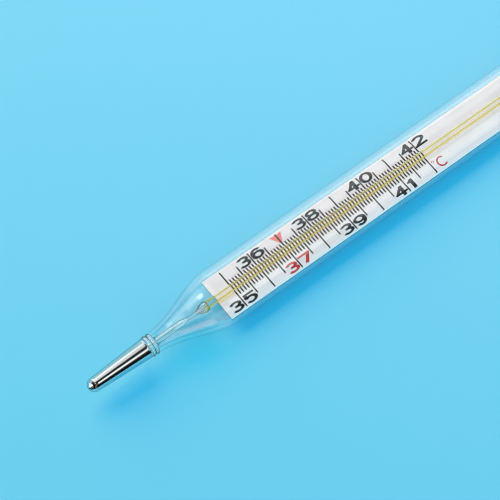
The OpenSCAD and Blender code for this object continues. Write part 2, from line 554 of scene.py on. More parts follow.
@dataclass(frozen=True)
class ClearGlass(Finish):
    """Clear drawn glass with faint ripples along its length, which lets lamps shine through.

    Edges take a painted shade where the glass is seen aslant, a darker or coloured tint that stands in for
    the light the glass bends in from around it. Rims can be fused away so that they don't outline it.
    """

    name: str
    light_tint: Colour = (1.0, 1.0, 1.0)
    deep_tint: Colour = (0.985, 0.995, 0.99)
    shade: Colour = (0.97, 0.985, 0.985)
    neck_shade: Colour = (0.97, 0.985, 0.985)
    neck_places: Span = (-42.0, -37.0)
    ior: float = 1.48
    ripple_size: Size = (14.0, 3.0, 3.0)
    ripple_depth: float = 0.004
    clear: float = 1.0
    edge_tint: Colour = (1.0, 1.0, 1.0)
    edge: Span = (0.45, 0.8)
    rim: Span = (0.78, 0.96)
    rim_fade: float = 0.0
    rim_gloss: float = 0.28
    sheen: float = 0.0
    sheen_in: Span = (0.25, 0.33)
    sheen_out: Span = (0.45, 0.95)

    def surface(self, nodes: Nodes) -> Socket:
        """Builds bending glass under a pale painted sheen, with thin straight glass for unseen rays and fused
        rims.

        Args:
            nodes: Node tree of the material.

        Returns:
            Shader socket.
        """
        ripples = nodes.grain(self.ripple_size, detail=0.0)
        aslant = nodes.node("LayerWeight").outputs["Facing"]
        tint = nodes.fade(ripples, self.deep_tint, self.light_tint)
        # Seen aslant, the glass's colour takes the painted edge shade.
        glass = nodes.add("BsdfPrincipled", {
            "Base Color": nodes.tinted(nodes.step(aslant, *self.edge), tint, self.edge_tint),
            "Roughness": 0.0,
            "IOR": self.ior,
            "Transmission Weight": self.clear,
            "Normal": nodes.bump(ripples, self.ripple_depth),
        })
        along, _, _ = nodes.place()
        # The neck lets less light through than the straight sheath: a painted shade that darkens its shadow
        # and the floor seen through its rims.
        straight = nodes.step(along, *(place * MM for place in self.neck_places))
        shade = nodes.add("MixRGB", {"Fac": straight, "Color1": self.neck_shade, "Color2": self.shade})
        steep = nodes.math("MULTIPLY", nodes.math("POWER", aslant, GLANCING_POWER), 1.0 - FACING_GLOSS)
        gloss = nodes.math("MINIMUM", nodes.math("ADD", steep, FACING_GLOSS), self.rim_gloss)
        unseen = nodes.unseen()
        seen = nodes.math("SUBTRACT", 1.0, unseen)
        mirror = nodes.add("BsdfGlossy", {"Roughness": 0.0})
        thin = nodes.mix(nodes.math("MULTIPLY", gloss, seen), nodes.clear(shade), mirror)
        faded = nodes.math("MULTIPLY", nodes.step(aslant, *self.rim), self.rim_fade)
        body = nodes.mix(nodes.math("MAXIMUM", unseen, faded), glass, thin)
        # Painted sheen: a faint diffuse white over a band of aslant angles, standing in for light the glass
        # walls carry to their rims.
        band = nodes.band(aslant, self.sheen_in, self.sheen_out)
        sheen = nodes.math("MULTIPLY", nodes.math("MULTIPLY", band, self.sheen), seen)
        return nodes.add("AddShader", {0: body, 1: nodes.add("BsdfDiffuse", {"Color": sheen})})


@dataclass(frozen=True)
class StainedGlass(Finish):
    """Opal stained glass drawn into clear glass, so that it tints light and doesn't bend it."""

    name: str = "yellow_stained_glass"
    near_deep: Colour = (0.76, 0.74, 0.24)
    near_light: Colour = (0.83, 0.81, 0.33)
    far_deep: Colour = (0.77, 0.76, 0.25)
    far_light: Colour = (0.84, 0.83, 0.34)
    stops: tuple[float, ...] = (0.17, 0.33, 0.67, 0.83)
    shade: Colour = (1.0, 0.96, 0.72)
    near_clear: float = 0.4
    far_clear: float = 0.65
    lit_through: float = 0.5
    grain_size: Size = (9.0, 0.3, 0.3)

    def surface(self, nodes: Nodes) -> Socket:
        """Builds opal glass, one tint and clearness for the near stripe and another for the far one. Both
        stripes are the same glass; their difference is painted to even out the shade that falls on the near
        stripe.

        Args:
            nodes: Node tree of the material.

        Returns:
            Shader socket.
        """
        _, across, _ = nodes.place()
        far_side = nodes.math("GREATER_THAN", across, 0.0)
        # The near stripe takes the lower half of the ramp and the far one the upper half.
        both_sides = nodes.math("ADD", nodes.grain(self.grain_size), far_side)
        tints = (self.near_deep, self.near_light, self.far_deep, self.far_light)
        tint = nodes.ramp(nodes.math("MULTIPLY", both_sides, 0.5), zip(self.stops, tints))
        # The near stripe is less clear and painted apart from the far one, to even out the shade that falls
        # on it.
        more = nodes.math("MULTIPLY", far_side, self.far_clear - self.near_clear)
        clear = nodes.math("ADD", self.near_clear, more)
        front, back = (nodes.add(kind, {"Color": tint}) for kind in ("BsdfDiffuse", "BsdfTranslucent"))
        glass = nodes.mix(clear, nodes.mix(self.lit_through, front, back), nodes.clear(tint))
        return nodes.mix(nodes.unseen(), glass, nodes.clear(self.shade))


@dataclass(frozen=True)
class Quicksilver(Finish):
    """Bright mercury with a faint skin, with painted shade along its near side and on the near flank of its
    nose, which stands in for the dark it mirrors there.

    The painted dark places are angles round the axis, in degrees. An axis left at 0 lies so far below that
    nothing is darkened.
    """

    name: str = "mercury"
    axis_z: float = 0.0
    dull_side: tuple[float, float, float, float] = (44, 48, 59, 63)
    pool_start: float = 0.0
    nose_l: float = 1.2
    nose_fade: float = 0.12
    nose_side: Span = (18, 26)
    side_tint: Colour = (0.06, 0.06, 0.06)
    bright: Colour = (0.84, 0.84, 0.84)
    dull: Colour = (0.76, 0.76, 0.77)
    edge: Colour = (0.62, 0.72, 0.75)
    skin_size: Size = (2.5, 0.5, 0.5)
    roughness: Span = (0.03, 0.07)

    def surface(self, nodes: Nodes) -> Socket:
        """Builds the metal, which soft light passes as if it weren't there.

        Args:
            nodes: Node tree of the material.

        Returns:
            Shader socket.
        """
        skin = nodes.grain(self.skin_size)
        x, y, z = nodes.place()
        above = nodes.math("SUBTRACT", z, self.axis_z * MM)
        round_a = nodes.math("ARCTAN2", nodes.math("MULTIPLY", y, -1.0), above)
        # The near side and the near flank of the nose are painted with shade on the metal's colour.
        starts, full, fades, ends = (math.radians(a) for a in self.dull_side)
        nose_end = self.pool_start + self.nose_l
        on_nose = nodes.fall(x, nose_end * MM, (nose_end + self.nose_fade) * MM)
        flank = nodes.step(round_a, *(math.radians(a) for a in self.nose_side))
        nose = nodes.math("MULTIPLY", flank, on_nose)
        side = nodes.math("MAXIMUM", nodes.step(round_a, starts, full), nose)
        shaded = nodes.math("SUBTRACT", side, nodes.step(round_a, fades, ends))
        smooth, rough = self.roughness
        metal = nodes.add("BsdfPrincipled", {
            "Base Color": nodes.tinted(shaded, nodes.fade(skin, self.dull, self.bright), self.side_tint),
            "Metallic": 1.0,
            "Roughness": nodes.add("MapRange", {"Value": skin, "To Min": smooth, "To Max": rough}),
            "Specular Tint": self.edge,
        })
        return nodes.mix(nodes.soft_light(), metal, nodes.clear())


@dataclass(frozen=True)
class Glow:
    """Painted band of the yellow light that the stained glass throws on the plate, in millimetres.

    It fades out over its end.
    """

    middle_y: float
    reach: float
    weight: float
    end: Span


@dataclass(frozen=True)
class MilkPlate(Finish):
    """Cool milk-white plate with faint clouding, painted with the yellow light that the stained glass throws
    on it and with a tint across it that evens out the light on its far and near sides.
    """

    name: str = "milk_plate"
    light: Colour = (0.91, 0.885, 0.915)
    dark: Colour = (0.84, 0.815, 0.84)
    cloud_size: Size = (4.0, 2.0, 2.0)
    grain_size: Size = (0.25, 0.25, 0.25)
    grain_detail: float = 4.0
    grain_depth: float = 0.003
    grain_strength: float = 0.6
    roughness: float = 0.45
    far_tint: Colour = (0.77, 0.89, 0.92)
    near_tint: Colour = (1.07, 1.02, 1.0)
    half_w: float = 4.0
    glow_tint: Colour = (1.0, 0.82, 0.14)
    glows: tuple[Glow, ...] = (
        Glow(0.1, 0.7, 0.25, (70, 80)),
        Glow(-0.2, 0.25, 0.8, (-34.3, -32.8)),
        Glow(-0.5, 0.4, 0.8, (-34.3, -32.8)),
    )

    def surface(self, nodes: Nodes) -> Socket:
        """Builds the clouded white with its painted side tint and lays the painted yellow light over it.

        Args:
            nodes: Node tree of the material.

        Returns:
            Shader socket.
        """
        along, across, _ = nodes.place()
        clouds = nodes.fade(nodes.grain(self.cloud_size), self.dark, self.light)
        # Painted tint across the plate: cooler and darker on the far side, warmer on the near side, to even
        # out the light.
        sides = nodes.even(across, -self.half_w * MM, self.half_w * MM)
        tint = nodes.tinted(1.0, clouds, nodes.fade(sides, self.near_tint, self.far_tint, FULL_SPAN))
        # Painted yellow light from the stained glass.
        for glow in self.glows:
            away = nodes.math("ABSOLUTE", nodes.math("SUBTRACT", across, glow.middle_y * MM))
            near = nodes.fall(away, 0.0, glow.reach * MM)
            before = nodes.fall(along, *(end * MM for end in glow.end))
            share = nodes.math("MULTIPLY", nodes.math("MULTIPLY", near, before), glow.weight)
            tint = nodes.tinted(share, tint, self.glow_tint)
        height = nodes.grain(self.grain_size, self.grain_detail)
        return nodes.add("BsdfPrincipled", {
            "Base Color": tint,
            "Roughness": self.roughness,
            "Normal": nodes.bump(height, self.grain_depth, self.grain_strength),
        })


@dataclass(frozen=True)
class GrainedCoat(Finish):
    """Plain dull coat that runs unevenly from one tint to another, such as printing ink or the painted shade
    on the plate's sides.
    """

    name: str
    first: Colour
    second: Colour
    grain: float
    span: Span
    detail: float = 3.0
    roughness: float = 0.6
    alpha: float = 1.0

    def surface(self, nodes: Nodes) -> Socket:
        """Builds the uneven coat.

        Args:
            nodes: Node tree of the material.

        Returns:
            Shader socket.
        """
        grain = nodes.grain((self.grain, self.grain, self.grain), self.detail)
        return nodes.add("BsdfPrincipled", {
            "Base Color": nodes.fade(grain, self.first, self.second, self.span),
            "Roughness": self.roughness,
            "Alpha": self.alpha,
        })


def print_ink(name: str, full: Colour, thin: Colour) -> GrainedCoat:
    """Gives the finish of an ink that lies a little unevenly."""
    return GrainedCoat(name, full, thin, grain=0.35, span=(0.45, 0.8), detail=4.0)


@dataclass(frozen=True)
class Plaster(Finish):
    """White setting plaster with fine pores, which light soaks into."""

    name: str = "white_plaster"
    light: Colour = (0.86, 0.86, 0.84)
    dark: Colour = (0.70, 0.70, 0.68)
    pore_size: Size = (0.3, 0.3, 0.3)
    pore_span: Span = (0.32, 0.5)
    pore_detail: float = 5.0
    pore_depth: float = 0.03
    pore_strength: float = 0.8
    roughness: float = 0.85
    soak: Size = (5.0, 2.4, 2.2)

    def surface(self, nodes: Nodes) -> Socket:
        """Builds the porous plaster.

        Args:
            nodes: Node tree of the material.

        Returns:
            Shader socket.
        """
        pores = nodes.grain(self.pore_size, self.pore_detail)
        return nodes.add("BsdfPrincipled", {
            "Base Color": nodes.fade(pores, self.dark, self.light, self.pore_span),
            "Roughness": self.roughness,
            "Subsurface Weight": 1.0,
            "Subsurface Radius": self.soak,
            "Subsurface Scale": MM,
            "Normal": nodes.bump(pores, self.pore_depth, self.pore_strength),
        })


@dataclass(frozen=True)
class FloorPaper(Finish):
    """Plain pale blue studio paper, painted a little lighter towards the top end of the thermometer, where
    more light falls.
    """

    name: str = "pale_blue_paper"
    light: Colour = (0.194, 0.652, 0.90)
    dark: Colour = (0.141, 0.600, 0.825)
    slope: Point = (1.0, 0.5)
    reach: Span = (-80, 40)
    grain_size: Size = (6.0, 6.0, 6.0)
    grain_weight: float = 0.1
    roughness: float = 0.9

    def surface(self, nodes: Nodes) -> Socket:
        """Builds the paper.

        Args:
            nodes: Node tree of the material.

        Returns:
            Shader socket.
        """
        slopes = (nodes.math("MULTIPLY", side, slope) for side, slope in zip(nodes.place(), self.slope))
        # Painted light: the paper grows lighter along this slope.
        painted_light = nodes.even(nodes.math("ADD", *slopes), *(end * MM for end in self.reach))
        speck = nodes.math("MULTIPLY", nodes.grain(self.grain_size), self.grain_weight)
        tint = nodes.fade(nodes.math("ADD", painted_light, speck), self.dark, self.light, FULL_SPAN)
        return nodes.add("BsdfPrincipled", {"Base Color": tint, "Roughness": self.roughness})


@dataclass(frozen=True)
class Finishes:
    """Finishes of the thermometer's pieces.

    The fused one is for faces that meet other glass or mercury, which don't show.
    """

    mercury: Quicksilver
    # The thin mercury in the stem is painted dark, a shade that stands in for the dark line the fine bore
    # shows through the glass.
    thread: Quicksilver = Quicksilver("thin_mercury", bright=(0.20, 0.21, 0.22), dull=(0.12, 0.13, 0.14))
    # The sheath's rims are fused away and carry the painted sheen.
    sheath: ClearGlass = ClearGlass(
        "sheath_glass",
        neck_shade=(0.71, 0.91, 0.935),
        ripple_depth=0.0002,
        rim=(0.19, 0.26),
        rim_fade=1.0,
        sheen=0.058,
    )
    # The glass finishes below darken or tint their aslant edges with painted shade.
    bulb: ClearGlass = ClearGlass(
        "bulb_glass",
        ripple_depth=0.002,
        deep_tint=(0.93, 0.98, 0.95),
        edge_tint=(0.50, 0.48, 0.42),
        edge=(0.45, 0.75),
        ior=1.6,
    )
    weld: ClearGlass = ClearGlass(
        "weld_glass",
        ripple_size=(0.8, 0.8, 0.8),
        ripple_depth=0.01,
        clear=0.8,
        edge_tint=(0.12, 0.17, 0.17),
        edge=(0.25, 0.6),
    )
    # The stem is partly diffuse, a painted paleness that stands in for light caught in its glass, with
    # painted shade on its edges.
    stem: ClearGlass = ClearGlass(
        "stem_glass",
        ripple_size=(3.0, 0.4, 0.4),
        ripple_depth=0.001,
        clear=0.7,
        edge_tint=(0.22, 0.23, 0.21),
        edge=(0.32, 0.55),
    )
    knot: ClearGlass = ClearGlass(
        "knot_glass",
        ripple_size=(0.5, 0.4, 0.4),
        ripple_depth=0.006,
        edge_tint=(0.06, 0.07, 0.05),
        edge=(0.19, 0.48),
    )
    capillary: ClearGlass = ClearGlass(
        "capillary_glass",
        shade=(1.0, 1.0, 1.0),
        ripple_size=(3.0, 0.4, 0.4),
        ripple_depth=0.001,
        edge_tint=(0.97, 0.92, 0.70),
        edge=(0.25, 0.6),
    )
    fused: GrainedCoat = GrainedCoat(
        "fused_joint", (0.95, 0.97, 0.97), (1.0, 1.0, 1.0), grain=1.0, span=FULL_SPAN, alpha=0.0
    )
    yellow: StainedGlass = StainedGlass()
    plate: MilkPlate = MilkPlate()
    # Painted shade for the plate's steep sides.
    plate_edge: GrainedCoat = GrainedCoat(
        "painted_plate_side_shade", (0.08, 0.10, 0.12), (0.20, 0.24, 0.27), grain=0.8, span=(0.35, 0.65), roughness=0.7
    )
    black: GrainedCoat = print_ink("black_ink", (0.008, 0.008, 0.01), (0.03, 0.03, 0.034))
    red: GrainedCoat = print_ink("red_ink", (0.45, 0.02, 0.02), (0.62, 0.10, 0.09))
    arrow: GrainedCoat = print_ink("pink_ink", (0.85, 0.20, 0.18), (0.90, 0.30, 0.26))
    plaster: Plaster = Plaster()

    def ink(self, ink: Ink) -> GrainedCoat:
        """Gives the finish of one of the two inks."""
        return self.red if ink is Ink.RED else self.black


@dataclass(frozen=True)
class OvalSection:
    """Four-arc oval of the sheath, with a narrow flat along its back, in millimetres about its middle."""

    width: float
    thickness: float
    side_r: float = 3.1
    back_cut: float = 0.25

    @property
    def half_t(self) -> float:
        """Half thickness of the oval before the flat is cut."""
        return (self.thickness + self.back_cut) / 2

    @property
    def side_y(self) -> float:
        """Distance from the middle to the middle of a side arc."""
        return self.width / 2 - self.side_r

    @property
    def front_drop(self) -> float:
        """Distance from the middle to the middle of the front arc."""
        rise = self.half_t - self.side_r
        return (self.side_y**2 - rise**2) / (2 * rise)

    def point(self, angle: float, inset: float = 0.0) -> Point:
        """Gives the point of the section with an outward normal at that angle.

        Args:
            angle: Angle of the normal from +Y towards +Z, in radians.
            inset: How far the section is drawn in.

        Returns:
            Y and Z from the middle of the oval.
        """
        c, s = math.cos(angle), math.sin(angle)
        on_side = math.atan2(abs(s), abs(c)) <= math.atan2(self.front_drop, self.side_y)
        if on_side:
            middle = (math.copysign(self.side_y, c), 0.0)
            r = self.side_r - inset
        else:
            middle = (0.0, -math.copysign(self.front_drop, s))
            r = self.front_drop + self.half_t - inset
        flat_z = -(self.half_t - self.back_cut - inset)
        return middle[0] + r * c, max(middle[1] + r * s, flat_z)


@dataclass
class Envelope:
    """Glass sheath: a round neck that swells to a flat oval with a rounded top end."""

    places: Places
    finishes: Finishes
    section: OvalSection
    wall: float = 0.7
    neck_d: float = 3.7
    neck_l: float = 13.6
    dome_l: float = 4.0
    hold: float = 0.3
    round_steps: int = 120
    neck_steps: int = 42
    dome_steps: int = 18

    def ring(self, angle: float, blend: float, size: float) -> Point:
        """Gives a point of a ring of the sheath.

        Args:
            angle: Angle of the normal, in radians.
            blend: 0 for the round neck, 1 for the oval.
            size: Scale of the ring about the axis.

        Returns:
            Y and Z in the frame.
        """
        oval_y, oval_z = self.section.point(angle)
        y = lerp(self.neck_d / 2 * math.cos(angle), oval_y, blend)
        z = lerp(self.neck_d / 2 * math.sin(angle), oval_z, blend)
        return size * y, self.places.axis_z + size * z

    def stations(self) -> list[tuple[float, float, float]]:
        """Lists the rings along the sheath, of which the last is the tip of the dome.

        Returns:
            Place, blend and size of each ring.
        """
        start = self.places.weld_end
        dome = self.places.top_end - self.dome_l
        rings = [(start + self.neck_l * s, smoothstep(s), 1.0) for s in shares(self.neck_steps)]
        rings += [(start + self.neck_l + self.hold, 1.0, 1.0), (dome - self.hold, 1.0, 1.0)]
        for s in shares(self.dome_steps):
            a = math.radians(90 * s)
            rings.append((dome + self.dome_l * math.sin(a), 1.0, math.cos(a)))
        return rings

    def build(self) -> None:
        """Draws the sheath ring by ring from the weld, closes its end and gives it its wall."""
        start_clean()
        bpy.ops.mesh.primitive_circle_add(vertices=self.round_steps, radius=1, rotation=ACROSS_AXIS)
        piece = bpy.context.object
        piece.name = "glass_envelope"
        bpy.ops.object.transform_apply(rotation=True)
        edit_mode()
        mesh = bmesh.from_edit_mesh(piece.data)
        normal_angle = mesh.verts.layers.float.new("normal_angle")
        for vert in mesh.verts:
            vert[normal_angle] = math.atan2(vert.co.z, vert.co.y)
        for i, (place, blend, size) in enumerate(self.stations()):
            if i:
                bpy.ops.mesh.extrude_edges_move()
            mesh = bmesh.from_edit_mesh(piece.data)
            normal_angle = mesh.verts.layers.float["normal_angle"]
            for vert in mesh.verts:
                if vert.select:
                    vert.co = (place, *self.ring(vert[normal_angle], blend, size))
            bmesh.update_edit_mesh(piece.data)
        close_seams()
        dress(piece, self.finishes.sheath, self.finishes.fused)
        wall = {"thickness": self.wall, "offset": -1, "use_even_offset": True, "material_offset_rim": 1}
        apply_modifier(piece, "SOLIDIFY", **wall)
        settle(piece)
        carry(piece, "sheath_glass", "glass_sheath")


@dataclass
class Bulb:
    """Bulb with its glass skin, its mercury and the double bead that welds it to the neck."""

    places: Places
    finishes: Finishes
    tip_d: float = 2.5
    tip_wall: float = 0.17
    neck_inner_r: float = 1.15
    column_r: float = 0.08
    column_l: float = 1.0
    mercury_gap: float = 0.03
    stem_gap: float = 0.02
    hold: float = 0.012
    corner_r: float = 0.25
    nose_steps: int = 20
    bead_steps: int = 14
    corner_steps: int = 6

    @property
    def wall(self) -> float:
        """Thickness of the glass skin."""
        return self.places.bulb_r - self.places.pool_r - self.mercury_gap

    def form(self, start: float, middle: float, nose_r: float, end_r: float, end: float) -> list[Point]:
        """Lists a round-nosed cone, with rings that hold its sides straight.

        Args:
            start: Place of the nose's tip.
            middle: Place where the nose is widest.
            nose_r: Radius of the nose.
            end_r: Radius at the wide end.
            end: Place of the wide end.

        Returns:
            Places and radii from the tip to the wide end.
        """
        slope = math.degrees(math.atan2(end_r - nose_r, end - middle))
        nose = arc((middle, 0), (middle - start, nose_r), 180, 90 + slope, self.nose_steps)
        place, radius = nose[-1]
        held = [(lerp(place, end, s), lerp(radius, end_r, s)) for s in (self.hold, 1 - self.hold)]
        return [*nose, *held, (end, end_r)]

    def is_wetted(self, face: bpy.types.MeshPolygon) -> bool:
        """Says whether a face of the skin lies on the cavity or at the weld.

        Args:
            face: Face of the skin.

        Returns:
            Whether mercury or fused glass covers the face.
        """
        p = self.places
        if face.center.x > p.weld_start - MERGE_DISTANCE:
            return True
        nose_r = self.tip_d / 2
        along = face.center.x - p.tip - nose_r
        radius = p.radius_at(face.center)
        if along < 0:
            return math.hypot(along, radius) < nose_r - self.wall / 2
        skin_r = lerp(nose_r, p.bulb_r, along / (p.weld_start - p.tip - nose_r))
        return radius < skin_r - self.wall / 2

    def build_skin(self) -> None:
        """Turns the glass skin of the bulb."""
        p = self.places
        nose_r = self.tip_d / 2
        outer = self.form(p.tip, p.tip + nose_r, nose_r, p.bulb_r, p.weld_start)
        inner_r = nose_r - self.wall
        inner_tip = p.tip + self.tip_wall - self.mercury_gap
        middle = p.pool_start - self.mercury_gap + inner_r
        inner = self.form(inner_tip, middle, inner_r, p.bulb_r - self.wall, p.weld_start)
        piece = turned("bulb_skin", [*inner, *reversed(outer)], p.axis_z)
        dress(piece, self.finishes.bulb, self.finishes.fused, self.is_wetted)
        settle(piece)
        carry(piece, "bulb_glass", "bulb_glass")

    def build_mercury(self) -> None:
        """Turns the mercury of the bulb with the column that stands in the stem."""
        p = self.places
        end = p.weld_start - self.mercury_gap
        corner_x, corner_y = end - self.corner_r, p.pool_r - self.corner_r
        nose_r = self.tip_d / 2 - self.wall - self.mercury_gap
        body = self.form(p.tip + self.tip_wall, p.pool_start + nose_r, nose_r, p.pool_r, corner_x)
        corner = arc((corner_x, corner_y), (self.corner_r, self.corner_r), 90, 0, self.corner_steps)
        column = [(end, self.column_r), (p.stem_end - self.column_l, self.column_r), (p.stem_end, 0)]
        piece = turned("bulb_mercury_pool", [*body, *corner[1:], *column], p.axis_z)
        dress(
            piece, self.finishes.mercury, self.finishes.thread,
            lambda face: face.center.x > end + MERGE_DISTANCE,
        )
        settle(piece)
        carry(piece, "mercury", "bulb_mercury")

    def build_weld(self) -> None:
        """Turns the two glass beads that join the bulb, the stem and the neck."""
        p = self.places
        bead_r = (p.weld_end - p.weld_start) / 4
        hole = p.stem_r + self.stem_gap
        first, second = (
            arc((middle, p.weld_r - bead_r), (bead_r, bead_r), 180, 0, self.bead_steps)
            for middle in (p.weld_start + bead_r, p.weld_end - bead_r)
        )
        end_face = [(p.weld_end, self.neck_inner_r), (p.weld_end, hole)]
        outline = [(p.weld_start, hole), *first, *second[1:], *end_face, (p.weld_start, hole)]
        piece = turned("weld_beads", outline, p.axis_z)

        def is_fused(face: bpy.types.MeshPolygon) -> bool:
            """Says whether a face meets the bulb, the stem or the rim of the neck.

            Args:
                face: Face of the beads.

            Returns:
                Whether other glass covers the face.
            """
            x, radius = face.center.x, p.radius_at(face.center)
            at_rim = x > p.weld_end - MERGE_DISTANCE and radius > self.neck_inner_r
            return at_rim or x < p.weld_start + MERGE_DISTANCE or radius < hole + MERGE_DISTANCE

        dress(piece, self.finishes.weld, self.finishes.fused, is_fused)
        settle(piece)
        carry(piece, "bulb_glass", "neck_weld")

    def build(self) -> None:
        """Builds the pieces of the bulb."""
        self.build_skin()
        self.build_mercury()
        self.build_weld()


@dataclass(frozen=True)
class Drop:
    """Drop of yellow glass that a stripe starts from, placed from the rod's lower end, in millimetres."""

    x: float
    y: float
    length: float
    radius: float
    steps: int = 16

    def outline(self, start: float) -> list[Point]:
        """Lists the drop's outline for a rod that starts there."""
        return arc((start + self.x, 0), (self.length / 2, self.radius), 180, 0, self.steps)


@dataclass
class Capillary:
    """Stem, constriction and striped capillary rod, with the mercury that climbs in them."""

    places: Places
    finishes: Finishes
    bore_d: float = 0.44
    bore_seal: float = 2.0
    pinch_d: float = 0.6
    pinch_l: float = 1.6
    cone_seat: float = 0.3
    pinch_bore_d: float = 0.16
    stem_bore_d: float = 0.56
    stem_swell: float = 0.12
    flare_d: float = 2.1
    flare_l: float = 1.3
    draw_l: float = 1.3
    knot_d: float = 1.9
    knot_over: float = 0.45
    knot_back: float = 0.5
    chamber_d: float = 1.0
    chamber_back: float = 0.55
    stripe_in: float = 0.192
    stripe_r: float = 0.06
    stripe_height: float = 2.4
    groove_gap: float = 0.006
    drops: tuple[Drop, ...] = (Drop(-0.3, -0.53, 0.85, 0.3), Drop(0.75, 0.48, 1.8, 0.27))
    curve_steps: int = 12
    crown_steps: int = 14
    thread_rings: int = 8

    @property
    def rod_start(self) -> float:
        """Place where the knot ends and the rod starts."""
        return self.places.capillary_start + self.knot_over

    def build_stem(self) -> None:
        """Turns the stem, flared at the weld and drawn thin towards the pinch."""
        p = self.places
        bore_r, flare_r, pinch_r = self.stem_bore_d / 2, self.flare_d / 2, self.pinch_d / 2
        stem_r = p.stem_r + self.stem_swell
        outline = [(p.weld_start, bore_r), (p.weld_start, p.stem_r), (p.weld_end, p.stem_r)]
        for s in shares(self.curve_steps):
            outline.append((p.weld_end + self.flare_l * s, lerp(stem_r, flare_r, (1 - s) ** 3)))
        for s in shares(self.curve_steps):
            outline.append((p.stem_end - self.draw_l * (1 - s), lerp(stem_r, pinch_r, smoothstep(s))))
        outline += [(p.stem_end, bore_r), (p.weld_start, bore_r)]
        piece = turned("stem_tube", outline, p.axis_z)

        def is_fused(face: bpy.types.MeshPolygon) -> bool:
            """Says whether a face is in the weld or at the pinch."""
            return not p.weld_end + MERGE_DISTANCE <= face.center.x <= p.stem_end - MERGE_DISTANCE

        dress(piece, self.finishes.stem, self.finishes.fused, is_fused)
        settle(piece)
        carry(piece, "capillary_glass", "bulb_stem")

    def build_constriction(self) -> None:
        """Turns the pinch and the knot of glass, with a small chamber that opens into the capillary."""
        p = self.places
        cone_start = p.stem_end + self.pinch_l
        knot_place = self.rod_start - self.knot_back
        chamber_place = self.rod_start - self.chamber_back
        seat = cone_start + self.cone_seat
        pinch_r, knot_r, chamber_r = self.pinch_d / 2, self.knot_d / 2, self.chamber_d / 2
        bore_r, thin_r = self.bore_d / 2, self.pinch_bore_d / 2
        outline = [(p.stem_end, thin_r), (p.stem_end, pinch_r)]
        for s in shares(self.curve_steps):
            outline.append((lerp(cone_start, knot_place, s), lerp(pinch_r, knot_r, smoothstep(s))))
        for s in shares(self.curve_steps, 1):
            outline.append((lerp(knot_place, self.rod_start, s), lerp(knot_r, p.capillary_r, s * s)))
        outline.append((self.rod_start, bore_r))
        for s in shares(self.curve_steps, 1):
            a = math.pi / 2 * s
            place = chamber_place + self.chamber_back * math.cos(a)
            outline.append((place, lerp(bore_r, chamber_r, math.sin(a))))
        for s in shares(self.curve_steps, 1):
            outline.append((lerp(chamber_place, seat, s), lerp(chamber_r, bore_r, s)))
        outline += [(seat, thin_r), (p.stem_end, thin_r)]
        piece = turned("pinch_and_knot", outline, p.axis_z)

        def is_fused(face: bpy.types.MeshPolygon) -> bool:
            """Says whether a face is in the bore or meets the stem or the capillary."""
            is_between = p.stem_end + MERGE_DISTANCE <= face.center.x <= self.rod_start - MERGE_DISTANCE
            return not is_between or p.radius_at(face.center) < thin_r + MERGE_DISTANCE

        dress(piece, self.finishes.knot, self.finishes.fused, is_fused)
        settle(piece)
        carry(piece, "capillary_glass", "constriction")

    def stripe_rod(self, name: str, side: int, radius: float, start: float, end: float) -> bpy.types.Object:
        """Adds one flattened rod in the place of a stripe.

        Args:
            name: Name of the rod.
            side: 1 for the stripe towards +Y, -1 for the other.
            radius: Radius of the rod.
            start: Place of its lower end.
            end: Place of its upper end.

        Returns:
            The rod, in millimetres.
        """
        outline = [(start, 0), (start, radius), (end, radius), (end, 0)]
        rod = turned(name, outline, 0, ROD_TURNING_STEPS)
        rod.scale.z = self.stripe_height
        rod.location = (0, side * (self.places.stripe_y - self.stripe_in), self.places.axis_z)
        pick(rod)
        bpy.ops.object.transform_apply(location=True, scale=True)
        return rod

    def build_rod(self) -> None:
        """Turns the capillary rod and cuts the grooves that hold the stripes."""
        p = self.places
        bore_r = self.bore_d / 2
        bore_end = p.capillary_end - self.bore_seal
        outline = [
            (bore_end, 0),
            (bore_end, bore_r),
            (self.rod_start, bore_r),
            (self.rod_start, p.capillary_r),
            (p.capillary_end, p.capillary_r),
            (p.capillary_end, 0),
        ]
        piece = turned("capillary_rod", outline, p.axis_z)

        def is_bore(face: bpy.types.MeshPolygon) -> bool:
            """Says whether a face is in the bore."""
            return p.radius_at(face.center) < bore_r + MERGE_DISTANCE

        dress(piece, self.finishes.capillary, self.finishes.fused, is_bore)
        groove_r = self.stripe_r + self.groove_gap
        start, end = self.rod_start - self.stripe_r, p.capillary_end + self.stripe_r
        for side in (-1, 1):
            cutter = self.stripe_rod("groove", side, groove_r, start, end)
            dress(cutter, self.finishes.fused)
            cut(piece, cutter, material_mode="TRANSFER")
        settle(piece)
        carry(piece, "capillary_glass", "capillary_tube")

    def build_stripes(self) -> None:
        """Adds the two yellow stripes with the drops that they start from and joins them as one piece."""
        p = self.places
        rods = [
            self.stripe_rod("yellow_stripes", side, self.stripe_r, self.rod_start, p.capillary_end)
            for side in (-1, 1)
        ]
        for drop in self.drops:
            rods.append(turned("drop", drop.outline(self.rod_start), p.axis_z, ROD_TURNING_STEPS))
            rods[-1].location.y = drop.y
        piece = join(rods)
        dress(piece, self.finishes.yellow)
        settle(piece)
        carry(piece, "yellow_glass", "capillary_stripes")

    def build_crown(self) -> None:
        """Turns the round-topped end of the mercury column."""
        p = self.places
        r = p.mercury_r
        crown = arc((p.capillary_start - r, 0), (r, r), 90, 0, self.crown_steps)
        outline = [(p.crown_start, 0), (p.crown_start, r), *crown]
        piece = turned("mercury_crown", outline, p.axis_z, FINE_TURNING_STEPS)
        dress(piece, self.finishes.mercury)
        settle(piece)
        carry(piece, "mercury", "mercury_meniscus", body=Body.MERCURY_TOP)

